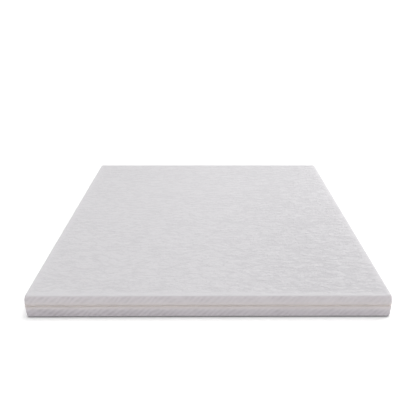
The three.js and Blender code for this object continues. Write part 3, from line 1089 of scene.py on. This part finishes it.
def make_coil(name, node, side):
    """A row of rounded bars across the zip, each pinched at its ends."""
    low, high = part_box(node)
    count = int(ROUND / LOOP_PITCH) - 3
    along = (np.arange(count) + (1.75 if side > 0 else 1.25)) * LOOP_PITCH
    middles = np.full(count, ZIP_MIDDLE)
    places, ways, outs = on_route(along, side_swell(along, ZIP_MIDDLE), middles)
    depth = (high.x - HALF_WIDTH) - (TAPE_OUT + 0.1 * MM)
    middle = TAPE_OUT + 0.1 * MM + depth / 2
    tip = ZIP_MIDDLE - side * LOOP_LAP
    root = high.z if side > 0 else low.z
    angle = np.linspace(0, 2 * math.pi, LOOP_SIDES, endpoint=False)[:, None]
    rings = []
    for share, fat in LOOP_RINGS:
        sideways = LOOP_W / 2 * fat * np.cos(angle)
        outward = middle + depth / 2 * fat * np.sin(angle)
        ring = places[:, None, :] + ways[:, None, :] * sideways + outs[:, None, :] * outward
        ring[..., 2] = tip + (root - tip) * share
        rings.append(ring)
    vertices = np.concatenate(rings, 1).reshape(-1, 3)
    faces = tube_faces(len(LOOP_RINGS), LOOP_SIDES, count)
    piece = make_object(name, vertices, faces, ZIP_NYLON)
    face_out(piece)
    print(name, "has", count, "loops")
    return piece


for half, side in (("upper", 1), ("lower", -1)):
    tape = make_tape(f"{half}_zip_tape", f"zip_tape_{half}", side)
    low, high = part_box(f"zip_tape_{half}")
    settle(tape, f"{half}_cover", "zip_fabric", f"zip_tape_{half}")
    coil = make_coil(f"{half}_zip_coil", f"zip_coil_{half}", side)
    settle(coil, f"{half}_cover", "zip_nylon", f"zip_coil_{half}")

# %% [markdown]
# ## Stitching
#
# One row of stitches holds each hem to its zip tape. A stitch is a short piece of thread that
# dives into the cloth at both ends, so it is a slim spindle that lies along the hem. The rows
# are real meshes, because the thread casts a small shadow that a painted line can't. They lie in
# the groove that they pull into the cloth, and follow the hem where it strays.

# %% Make rows of stitches
STITCH_PITCH = 4.6 * MM
STITCH_L = 3.7 * MM
THREAD_R = 0.42 * MM
THREAD_SIDES = 5
# Each ring's place along the stitch, its share of the thread's radius, and how deep it dives.
STITCH_RINGS = ((-0.5, 0.3, 0.9), (-0.2, 1.0, 0.0), (0.2, 1.0, 0.0), (0.5, 0.3, 0.9))


def make_stitches(name, middles, ways, outs, body, length=STITCH_L, radius=THREAD_R):
    """Spindles at their middles. Each lies along its way, and dives in against its out."""
    sides = np.cross(ways, outs)
    angle = np.linspace(0, 2 * math.pi, THREAD_SIDES, endpoint=False)[:, None]
    rings = []
    for share, fat, dive in STITCH_RINGS:
        centre = middles + ways * (share * length) - outs * (dive * radius)
        turn = np.cos(angle) * outs[:, None, :] + np.sin(angle) * sides[:, None, :]
        rings.append(centre[:, None, :] + radius * fat * turn)
    vertices = np.concatenate(rings, 1).reshape(-1, 3)
    faces = tube_faces(len(STITCH_RINGS), THREAD_SIDES, len(middles))
    piece = make_object(name, vertices, faces, THREAD)
    face_out(piece)
    settle(piece, body, "border_knit")


print("stitches are", STITCH_PITCH / MM, "mm apart")

# %% Sew the hems
THREAD_OUT = -0.2 * MM


def sew_hem(half, hem, seed):
    """One row of stitches, along the groove in the border of the same seed."""
    count = int(ROUND / STITCH_PITCH) - 1
    along = (np.arange(count) + 0.7) * STITCH_PITCH
    row = hem + (HEM_ROW if hem > ZIP_MIDDLE else -HEM_ROW)
    height = row + hem_shift(along, hem, seed + 4) * hem_share(HEM_ROW)
    out = THREAD_OUT + side_swell(along, row)
    make_stitches(f"{half}_hem_stitches", *on_route(along, out, height), f"{half}_cover")
    print(count, "stitches in the", half, "hem")


sew_hem("upper", UPPER_HEM, UPPER_SEED)
sew_hem("lower", LOWER_HEM, LOWER_SEED)

# %% [markdown]
# ## The slider and its pull tab
#
# The slider is die-cast: two plates joined by a neck that parts the coils, a rail, and an arch
# that holds the tab. Plates with holes are easiest as flat curves, because Blender fills and
# rounds them by itself, and the result becomes a mesh. Every edge is rounded, as cast zinc is.

# %% Cut plates from outlines
def plate(name, outlines, thickness, rounding):
    """A flat plate in the XY plane, from a list of closed outlines, the first one the outside."""
    curve = bpy.data.curves.new(name, "CURVE")
    curve.dimensions = "2D"
    curve.fill_mode = "BOTH"
    curve.extrude = thickness / 2 - rounding
    curve.bevel_depth = rounding
    curve.bevel_resolution = 2
    curve.offset = -rounding
    for outline in outlines:
        spline = curve.splines.new("POLY")
        spline.points.add(len(outline) - 1)
        for point, (x, y) in zip(spline.points, outline):
            point.co = (x, y, 0, 1)
        spline.use_cyclic_u = True
    source = bpy.data.objects.new(name, curve)
    mesh = bpy.data.meshes.new_from_object(source)
    bpy.data.objects.remove(source)
    bpy.data.curves.remove(curve)
    corners = np.empty(3 * len(mesh.vertices))
    mesh.vertices.foreach_get("co", corners)
    faces = [tuple(p.vertices) for p in mesh.polygons]
    bpy.data.meshes.remove(mesh)
    return corners.reshape(-1, 3), faces


def arc(x, y, radius, begin, end, steps):
    angle = np.radians(np.linspace(begin, end, steps + 1))
    return list(zip(x + radius * np.cos(angle), y + radius * np.sin(angle)))


def rounded(half_x, half_y, radius, steps=5):
    points = []
    for sx, sy, begin in ((1, 1, 0), (-1, 1, 90), (-1, -1, 180), (1, -1, 270)):
        x, y = sx * (half_x - radius), sy * (half_y - radius)
        points += arc(x, y, radius, begin, begin + 90, steps)
    return points


def assemble(name, parts, material, body, slot, node):
    """Joins (vertices, faces) parts into one piece that rides on a body."""
    vertices, faces, first = [], [], 0
    for corners, part_faces in parts:
        vertices.append(corners)
        faces += [tuple(v + first for v in f) for f in part_faces]
        first += len(corners)
    piece = make_object(name, np.concatenate(vertices), faces, material)
    weld = bmesh.new()
    weld.from_mesh(piece.data)
    bmesh.ops.remove_doubles(weld, verts=weld.verts, dist=1e-6)
    bmesh.ops.recalc_face_normals(weld, faces=weld.faces)
    weld.to_mesh(piece.data)
    weld.free()
    piece.data.set_sharp_from_angle(angle=math.radians(40))
    settle(piece, body, slot, node)
    print(name, "has", len(piece.data.polygons), "faces")


print("plates can be cut")

# %% Cast the slider
slider_low, slider_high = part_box("zip_slider_body")
SLIDER_X = (slider_low.x + slider_high.x) / 2
SLIDER_HALF_L = (slider_high.x - slider_low.x) / 2
SLIDER_HALF_W = (slider_high.z - slider_low.z) / 2
PLATE_T = 1.1 * MM
BAIL_T = 1.5 * MM
tab_low, tab_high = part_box("zip_pull_tab")
TAB_Y = (tab_low.y + tab_high.y) / 2
HINGE_X = tab_high.x - 0.5 * MM
FRONT_Y = HALF_LENGTH + 0.35 * MM  # middle of the front plate
BACK_Y = HALF_LENGTH - 4.35 * MM  # middle of the back plate


def upright(corners, x, y, z):
    """Stands a plate up so that it faces the head end, at a place."""
    turned = np.stack([corners[:, 0], -corners[:, 2], corners[:, 1]], 1)
    return turned + np.array([x, y, z])


def slider_outline(trim):
    """A shield, broad where the open halves come in and narrow where the zip leaves closed."""
    long, broad = SLIDER_HALF_L - trim, SLIDER_HALF_W - trim
    narrow = broad - 1.3 * MM
    side = [(long * 0.82, broad), (long * 0.25, broad), (-long * 0.35, narrow + 0.15 * MM)]
    half = [(long, broad * 0.55), (long * 0.96, broad * 0.86), *side]
    half += [(-long * 0.85, narrow), (-long, narrow * 0.72)]
    return half + [(x, -y) for x, y in half[::-1]]


def bail_outline(outer_r, inner_r):
    rise = TAB_Y - FRONT_Y
    outside = [(-outer_r, 0), (outer_r, 0), *arc(0, rise, outer_r, 0, 180, 10)]
    inside = [(-inner_r, PLATE_T / 2), (inner_r, PLATE_T / 2), *arc(0, rise, inner_r, 0, 180, 10)]
    return [outside, inside]


def make_slider():
    front, front_faces = plate("front", [slider_outline(0)], PLATE_T, 0.3 * MM)
    back, back_faces = plate("back", [slider_outline(0.2 * MM)], PLATE_T - 0.1 * MM, 0.25 * MM)
    bail, bail_faces = plate("bail", bail_outline(2.0 * MM, 1.08 * MM), BAIL_T, 0.2 * MM)
    neck_outline = rounded(2.0 * MM, 0.42 * MM, 0.3 * MM)
    neck, neck_faces = plate("neck", [neck_outline], FRONT_Y - BACK_Y + 0.2 * MM, 0.05 * MM)
    rail_outline = rounded(2.1 * MM, 0.55 * MM, 0.3 * MM)
    rail, rail_faces = plate("rail", [rail_outline], 2.8 * MM, 0.2 * MM)
    middle_y = (FRONT_Y + BACK_Y) / 2
    rail_z = ZIP_MIDDLE - SLIDER_HALF_W + 0.6 * MM
    return [
        (upright(front, SLIDER_X, FRONT_Y, ZIP_MIDDLE), front_faces),
        (upright(back, SLIDER_X, BACK_Y, ZIP_MIDDLE), back_faces),
        (upright(neck, SLIDER_X + 2.4 * MM, middle_y, ZIP_MIDDLE), neck_faces),
        (upright(rail, SLIDER_X + 2.2 * MM, FRONT_Y - 1.1 * MM, rail_z), rail_faces),
        (bail + np.array([HINGE_X, FRONT_Y, ZIP_MIDDLE]), bail_faces),
    ]


SLIDER_NAMES = ("zip_slider", "zip_metal", "zip_slider_body")  # body, slot and node
assemble("zip_slider_casting", make_slider(), ZIP_METAL, *SLIDER_NAMES)

# %% Cut the pull tab
TAB_T = tab_high.y - tab_low.y


def make_tab():
    """A tongue with a slot for the arch, a waist, and an eye at its far end."""
    length = HINGE_X - tab_low.x
    half = (tab_high.z - tab_low.z) / 2
    waist = half * 0.72
    upper = [(0.5 * MM, half * 0.8), (0.2 * MM, half * 0.95), (-4.2 * MM, half * 0.95)]
    upper += [(-7 * MM, waist), (-11 * MM, waist * 0.97), (-16 * MM, waist * 1.1)]
    end = arc(-length + half, 0, half, 90, 270, 14)
    outside = upper + [(-length + half * 1.5, half * 0.98), *end]
    outside += [(x, -z) for x, z in [(-length + half * 1.5, half * 0.98), *upper[::-1]]]
    slot = rounded(1.55 * MM, 1.15 * MM, 0.3 * MM)
    slot = [(x - 2.05 * MM, z) for x, z in slot]
    eye = arc(-length + 4.2 * MM, 0, 1.35 * MM, 0, 337.5, 15)
    corners, faces = plate("tab", [outside, slot, eye], TAB_T, 0.28 * MM)
    return [(upright(corners, HINGE_X, TAB_Y, ZIP_MIDDLE), faces)]


TAB_NAMES = ("pull_tab", "zip_metal", "zip_pull_tab")
assemble("zip_pull_tab_tongue", make_tab(), ZIP_METAL, *TAB_NAMES)

# %% [markdown]
# ## The patch and the care label
#
# A patch of the border cloth covers the place where the zip's ends meet. It is sewn down round
# its edge and swells in the middle. The care label is a blank satin ribbon that hangs from the
# bottom seam against the border. Both are thin closed cloths, made from a small grid.

# %% Make the small cloths
TAG_GRID = (25, 17)


def make_tag(name, node, material, slot, swell, curl, seed):
    """A thin cloth on the head end's face, as a closed grid."""
    low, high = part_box(node)
    lines = np.linspace(low.x, high.x, TAG_GRID[0]), np.linspace(low.z, high.z, TAG_GRID[1])
    x, z = np.meshgrid(*lines, indexing="ij")
    u = 2 * (x - low.x) / (high.x - low.x) - 1
    v = 2 * (z - low.z) / (high.z - low.z) - 1
    dome = (1 - u ** 4) * (1 - v ** 4)
    bow = curl * (v + 1) / 2 * (0.5 + 0.5 * waves(x, 0.03, 0.09, seed))
    thick = (high.y - low.y) * 0.55
    front = low.y + thick + swell * dome + bow
    back = low.y + bow
    sides = [np.stack([x, y, z], -1).reshape(-1, 3) for y in (front, back)]
    faces = grid_faces(*x.shape) + [f[::-1] for f in grid_faces(*x.shape, x.size)]
    rim = rim_of(*x.shape)
    after = np.roll(rim, -1)
    faces += np.stack([rim, after, after + x.size, rim + x.size], -1).tolist()
    piece = make_object(name, np.concatenate(sides), faces, material)
    cloth = np.stack([x, z, np.full_like(x, 0.8)], -1).reshape(-1, 3)
    mark_cloth(piece, np.concatenate([cloth, cloth]))
    face_out(piece)
    settle(piece, "lower_cover", slot, node)
    return piece, high.x - low.x, high.z - low.z


def sew_tag(name, node, inset, out, edges):
    """Stitches along some edges of a tag, each edge a pair of corners with signs for x and z."""
    low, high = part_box(node)
    middle = (low + high) / 2
    reach = (high - low) / 2 - Vector((inset, 0, inset))
    middles, ways = [], []
    for edge in edges:
        start, stop = (
            np.array((middle.x + x * reach.x, low.y + out, middle.z + z * reach.z)) for x, z in edge
        )
        run = np.linalg.norm(stop - start)
        count = round(run / TAG_STITCH_PITCH)
        shares = (np.arange(count) + 0.5) / count
        middles.append(start + np.outer(shares, stop - start))
        ways.append(np.tile((stop - start) / run, (count, 1)))
    middles, ways = np.concatenate(middles), np.concatenate(ways)
    outs = np.tile((0.0, 1.0, 0.0), (len(middles), 1))
    make_stitches(name, middles, ways, outs, "lower_cover", TAG_STITCH_L, TAG_THREAD_R)
    print(len(middles), "stitches in", name)


TAG_STITCH_PITCH = 3.2 * MM
TAG_STITCH_L = 0.72 * TAG_STITCH_PITCH
TAG_THREAD_R = 0.3 * MM
ALL_ROUND = [((-1, -1), (1, -1)), ((1, -1), (1, 1)), ((1, 1), (-1, 1)), ((-1, 1), (-1, -1))]
sew_tag("zip_patch_stitches", "zip_end_patch", 2.2 * MM, 0.75 * MM, ALL_ROUND)
sew_tag("care_label_stitches", "care_label", 2.4 * MM, 0.55 * MM, ALL_ROUND[:1])
patch_look = (BORDER_KNIT, "border_knit", 0.5 * MM, 0, 51)
patch, wide, high = make_tag("zip_end_patch_cloth", "zip_end_patch", *patch_look)
label_look = (LABEL_SATIN, "label_satin", 0.1 * MM, 1.6 * MM, 52)
label, wide, high = make_tag("care_label_ribbon", "care_label", *label_look)

# %% [markdown]
# ## The foam core
#
# Two slabs are glued into one core. Foam is cut by a hot or moving blade, so its faces are flat
# with slow ripples, and its edges are square apart from where the cover presses them round.
# A slab is made as the cloth panels are, only thicker, so its side is one tall row of faces.

# %% Cut the slabs
SLAB_STEPS = (28 * MM, 28 * MM)


def make_slab(name, node, round_top, round_bottom, material, seed):
    """A closed slab with rippled faces and pressed edges."""
    low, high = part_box(node)
    out = high.x - HALF_WIDTH

    def ripple(x, y):
        return 0.35 * MM * waves(x, 0.2, 0.9, seed) * waves(y, 0.2, 0.9, seed + 1)

    def press(inside, radius):
        reach = np.clip(radius - inside, 0, radius)
        return radius - np.sqrt(np.clip(radius ** 2 - reach ** 2, 0, None))

    def face(x, y, inside):
        return high.z - 0.4 * MM + ripple(x, y) - 0.8 * press(inside, round_top)

    def back(x, y, inside):
        return low.z + 0.4 * MM + ripple(x, y) + 0.8 * press(inside, round_bottom)

    return make_panel(name, out, SLAB_STEPS, face, back, material)


slabs = (
    ("memory_foam_slab", "memory_foam_layer", "memory_foam", MEMORY_FOAM, 4 * MM, 0.8 * MM),
    ("support_foam_slab", "support_foam_base", "support_foam", SUPPORT_FOAM, 0.8 * MM, 6 * MM),
)
for name, node, slot, material, round_top, round_bottom in slabs:
    slab = make_slab(name, node, round_top, round_bottom, material, 61)
    settle(slab, "foam_core", slot, node)
    print(name, "is", np.round(np.array(slab.dimensions), 3))

# %% [markdown]
# ## The studio
#
# The mattress lies on a white sweep, so brightly lit that the floor is plain white and the only
# shadow is the thin dark line where the mattress meets it. Most of the light is a broad soft box
# almost straight above, which keeps shadows short. The white walls round the room glow near the
# horizon and light the border, and the room above them is dimmer.
# A second, smaller box stands low at the right, nearer to the head end. Its light grazes the
# knit, which shows the crinkle, and it brightens the top towards the right and the head.

# %% Make the floor
FLOOR_HALF = 120.0
FLOOR_WHITE = 0.93
FLOOR_GLOW = 0.17


def make_floor():
    finish = Finish("studio_floor")
    finish.set(Base_Color=(*[FLOOR_WHITE] * 3, 1), Roughness=1.0, Specular_IOR_Level=0.0)
    finish.set(Emission_Color=(1, 1, 1, 1), Emission_Strength=FLOOR_GLOW)
    corners = [(-1, -1), (1, -1), (1, 1), (-1, 1)]
    vertices = [(x * FLOOR_HALF, y * FLOOR_HALF, 0) for x, y in corners]
    return make_object("studio_floor", vertices, [(0, 1, 2, 3)], finish.material, smooth=False)


make_floor()
print("the floor is", 2 * FLOOR_HALF, "m wide")

# %% Light the walls and the room
WALL_LIGHT = 1.0
ROOM_LIGHT = 0.42
WALL_TOP = (0.16, 0.34)  # heights of the sky, as sines, between which the walls fade out


class Room(Finish):
    """The world, built like a finish."""

    def __init__(self, name):
        self.world = bpy.data.worlds.new(name)
        self.world.use_nodes = True
        self.tree = self.world.node_tree
        self.shader = self.tree.nodes["Background"]


def light_room():
    room = Room("studio_room")
    way = room.node("ShaderNodeTexCoord", output="Generated")
    height = room.part(way, "Z")
    dim = height.above(*WALL_TOP)
    room.set(Color=(1, 1, 1, 1), Strength=dim * (ROOM_LIGHT - WALL_LIGHT) + WALL_LIGHT)
    bpy.context.scene.world = room.world


light_room()
print("walls", WALL_LIGHT, "and room", ROOM_LIGHT)

# %% Hang the soft boxes
TOP_BOX = 1.7
TOP_BOX_SPREAD = 50  # degrees across
TOP_BOX_TILT = (-4, 6)  # degrees towards the head end, and towards the right
SIDE_BOX_PLACE = (3.0, 0.9, 1.15)
SIDE_BOX_SIZE = 1.2
SIDE_BOX = 41.0  # watts


def hang(name, kind, energy, place=(0, 0, 3), turn=(0, 0, 0), **settings):
    data = bpy.data.lights.new(name, kind)
    data.energy = energy
    for key, value in settings.items():
        setattr(data, key, value)
    light = bpy.data.objects.new(name, data)
    light.location = place
    light.rotation_euler = turn
    bpy.context.collection.objects.link(light)


tilt = (math.radians(TOP_BOX_TILT[0]), math.radians(TOP_BOX_TILT[1]), 0)
hang("top_box", "SUN", TOP_BOX, turn=tilt, angle=math.radians(TOP_BOX_SPREAD))
aim = (-Vector(SIDE_BOX_PLACE)).to_track_quat("-Z", "Y").to_euler()
hang("side_box", "AREA", SIDE_BOX, SIDE_BOX_PLACE, aim, size=SIDE_BOX_SIZE)
bpy.context.scene.view_settings.view_transform = "Standard"
print("top box", TOP_BOX, "and side box", SIDE_BOX, "W")
